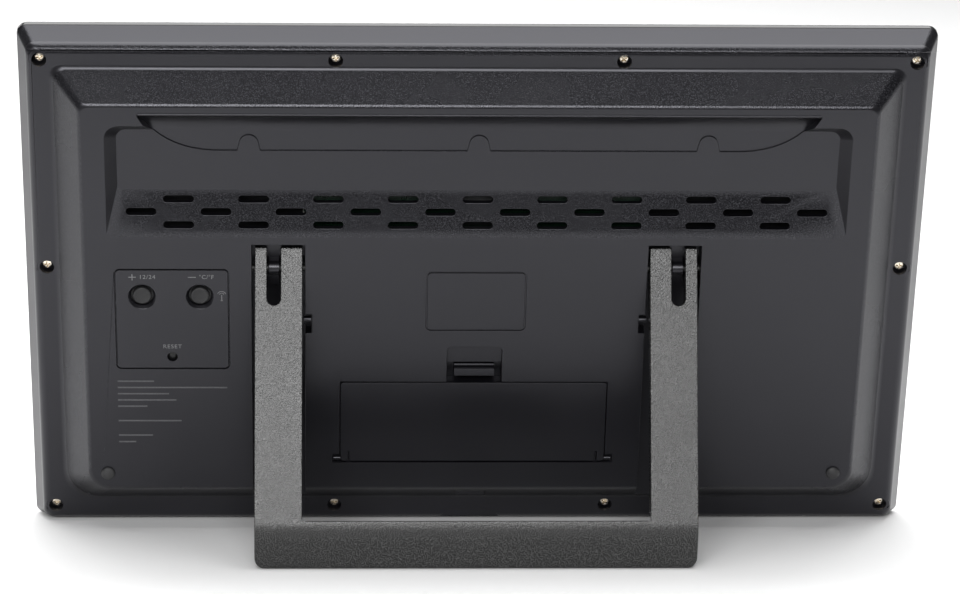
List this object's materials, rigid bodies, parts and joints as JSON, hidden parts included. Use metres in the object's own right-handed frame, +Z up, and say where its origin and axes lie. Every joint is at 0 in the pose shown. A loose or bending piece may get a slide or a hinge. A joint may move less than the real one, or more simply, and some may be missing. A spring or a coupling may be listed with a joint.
{
  "type": "digital lcd clock",
  "caption": "Wide flat LCD desk and wall clock with a fold-out U-shaped stand, a hinged battery door, vents and push buttons on its back.",
  "frame": {"origin": "bottom centre of the bounding box, on the table that the clock stands on", "axes": "+Z up, +X along the long side, display towards -Y, back and stand towards +Y"},
  "size_m": [0.368, 0.0936, 0.2199],
  "materials": {
    "gloss_black": "deep gloss",
    "case_black": "fine satin mould texture",
    "stand_black": "coarse spark texture",
    "inner_white": "as moulded",
    "black_rubber": "satin",
    "clear_window": "clear polished sheet",
    "display_glass": "polished",
    "board_green": "solder resist",
    "chip_black": "satin",
    "screw_steel": "zinc plated",
    "nickel": "nickel plated",
    "brass": "plain",
    "copper": "enamelled winding",
    "ferrite": "sintered",
    "red_wire": "wire insulation",
    "black_wire": "wire insulation",
    "cell_can": "printed wrap"
  },
  "bodies": {
    "case": {"antenna_coil": "copper", "antenna_rod": "ferrite", "battery_cell_1": "cell_can", "battery_cell_2": "cell_can", "battery_cell_3": "cell_can", "battery_cell_4": "cell_can", "battery_wire_black": "black_wire", "battery_wire_red": "red_wire", "board_screw_1": "screw_steel", "board_screw_2": "screw_steel", "board_screw_3": "screw_steel", "board_screw_4": "screw_steel", "case_screw_1": "screw_steel", "case_screw_10": "screw_steel", "case_screw_2": "screw_steel", "case_screw_3": "screw_steel", "case_screw_4": "screw_steel", "case_screw_5": "screw_steel", "case_screw_6": "screw_steel", "case_screw_7": "screw_steel", "case_screw_8": "screw_steel", "case_screw_9": "screw_steel", "clock_crystal": "nickel", "contact_bridge": "nickel", "contact_negative": "nickel", "contact_positive": "nickel", "control_board": "board_green", "control_board_screw_1": "screw_steel", "control_board_screw_2": "screw_steel", "control_cable": "black_wire", "controller_chip": "chip_black", "display_window": "clear_window", "front_frame": "gloss_black", "hinge_pin_left": "screw_steel", "hinge_pin_right": "screw_steel", "lcd_connector_strip": "black_rubber", "lcd_glass": "display_glass", "lcd_holder": "inner_white", "main_board": "board_green", "minus_switch": "chip_black", "piezo_buzzer": "brass", "plus_switch": "chip_black", "radio_receiver": "board_green", "rear_cover": "case_black", "reset_switch": "chip_black", "temperature_sensor": "chip_black", "wall_bumper_left": "black_rubber", "wall_bumper_right": "black_rubber"},
    "stand_leg": {"stand": "stand_black"},
    "door": {"battery_door": "case_black"},
    "plus_key": {"plus_button": "black_rubber"},
    "minus_key": {"minus_button": "black_rubber"},
    "reset_key": {"reset_button": "black_rubber"}
  },
  "joints": [
    {"name": "stand_hinge", "type": "hinge", "parent": "case", "child": "stand_leg", "pos_m": [0, 0.01246, 0.11834], "axis": [-1, 0, 0], "range_deg": [0, 32.9]},
    {"name": "battery_door_hinge", "type": "hinge", "parent": "case", "child": "door", "pos_m": [0, -0.00884, 0.03288], "axis": [-1, 0, 0], "range_deg": [0, 95]},
    {"name": "plus_button_press", "type": "slide", "parent": "case", "child": "plus_key", "axis": [0, -0.953, 0.303], "range_m": [0, 0.0006], "stiffness_N_per_m": 1000},
    {"name": "minus_button_press", "type": "slide", "parent": "case", "child": "minus_key", "axis": [0, -0.953, 0.303], "range_m": [0, 0.0006], "stiffness_N_per_m": 1000},
    {"name": "reset_button_press", "type": "slide", "parent": "case", "child": "reset_key", "axis": [0, -0.953, 0.303], "range_m": [0, 0.0005], "stiffness_N_per_m": 1000}
  ]
}
